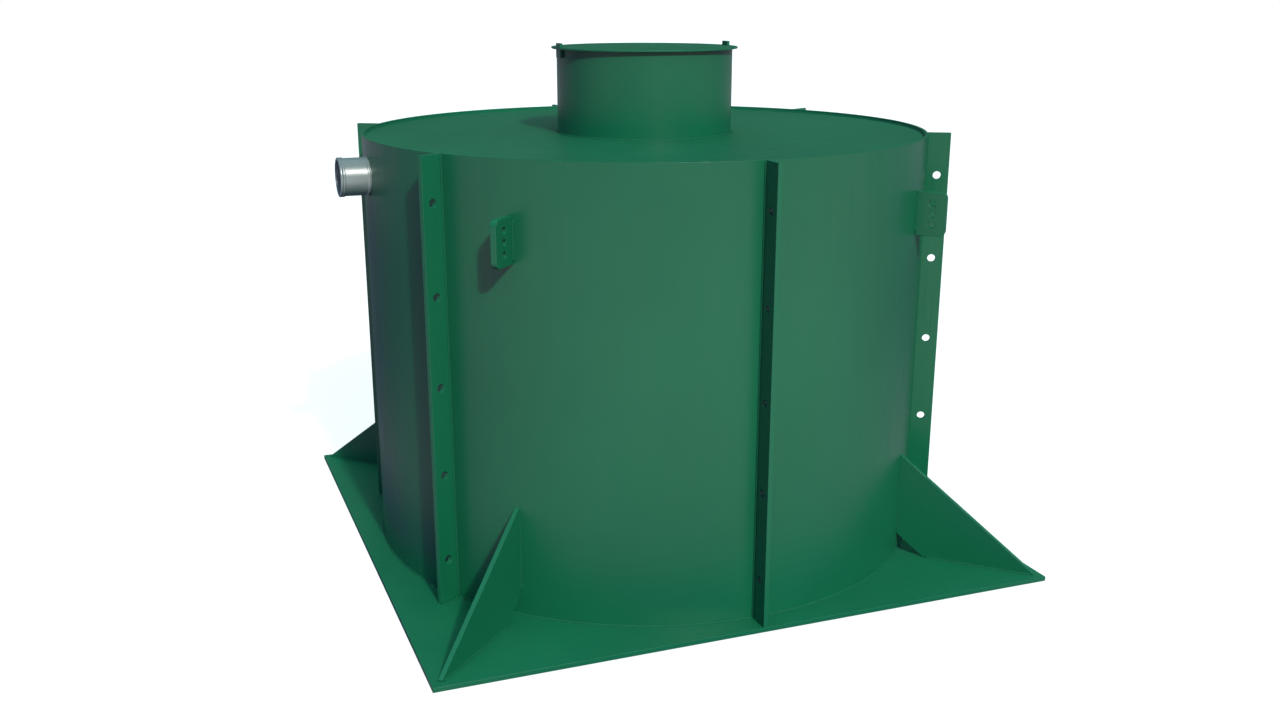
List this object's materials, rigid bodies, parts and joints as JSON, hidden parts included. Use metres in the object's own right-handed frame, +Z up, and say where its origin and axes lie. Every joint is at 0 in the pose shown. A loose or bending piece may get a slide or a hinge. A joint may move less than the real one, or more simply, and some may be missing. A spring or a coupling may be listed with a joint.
{
  "type": "grease trap tank",
  "caption": "Round upright plastic grease trap: ribbed tank on a square base plate, with a manhole neck, a flat lid, lifting lugs and pipe stubs for inlet and outlet.",
  "frame": {"origin": "centre of the base plate's underside, on the tank's axis", "axes": "+Z up along the tank's axis, +X towards the outlet stub, inlet stub at -X, -Y towards the viewer"},
  "size_m": [2.2, 2.16, 1.7898],
  "materials": {
    "base_plate": "welded green polypropylene sheet",
    "shell_panel_1": "welded green polypropylene sheet",
    "shell_panel_2": "welded green polypropylene sheet",
    "shell_panel_3": "welded green polypropylene sheet",
    "shell_panel_4": "welded green polypropylene sheet",
    "shell_panel_5": "welded green polypropylene sheet",
    "shell_panel_6": "welded green polypropylene sheet",
    "roof_plate": "welded green polypropylene sheet",
    "neck": "welded green polypropylene sheet",
    "lid": "welded green polypropylene sheet",
    "lid_tab_left": "welded green polypropylene sheet",
    "lid_tab_right": "welded green polypropylene sheet",
    "rib_1": "welded green polypropylene sheet",
    "rib_2": "welded green polypropylene sheet",
    "rib_3": "welded green polypropylene sheet",
    "rib_4": "welded green polypropylene sheet",
    "rib_5": "welded green polypropylene sheet",
    "rib_6": "welded green polypropylene sheet",
    "gusset_1": "welded green polypropylene sheet",
    "gusset_2": "welded green polypropylene sheet",
    "gusset_3": "welded green polypropylene sheet",
    "gusset_4": "welded green polypropylene sheet",
    "lifting_lug_1": "welded green polypropylene sheet",
    "lifting_lug_2": "welded green polypropylene sheet",
    "lifting_lug_3": "welded green polypropylene sheet",
    "lifting_lug_4": "welded green polypropylene sheet",
    "inlet_pipe": "smooth grey pipe plastic",
    "outlet_pipe": "smooth grey pipe plastic"
  },
  "bodies": {
    "root": {"base_plate": "base_plate", "shell_panel_1": "shell_panel_1", "shell_panel_2": "shell_panel_2", "shell_panel_3": "shell_panel_3", "shell_panel_4": "shell_panel_4", "shell_panel_5": "shell_panel_5", "shell_panel_6": "shell_panel_6", "roof_plate": "roof_plate", "neck": "neck", "lid": "lid", "lid_tab_left": "lid_tab_left", "lid_tab_right": "lid_tab_right", "rib_1": "rib_1", "rib_2": "rib_2", "rib_3": "rib_3", "rib_4": "rib_4", "rib_5": "rib_5", "rib_6": "rib_6", "gusset_1": "gusset_1", "gusset_2": "gusset_2", "gusset_3": "gusset_3", "gusset_4": "gusset_4", "lifting_lug_1": "lifting_lug_1", "lifting_lug_2": "lifting_lug_2", "lifting_lug_3": "lifting_lug_3", "lifting_lug_4": "lifting_lug_4", "inlet_pipe": "inlet_pipe", "outlet_pipe": "outlet_pipe"}
  },
  "joints": []
}
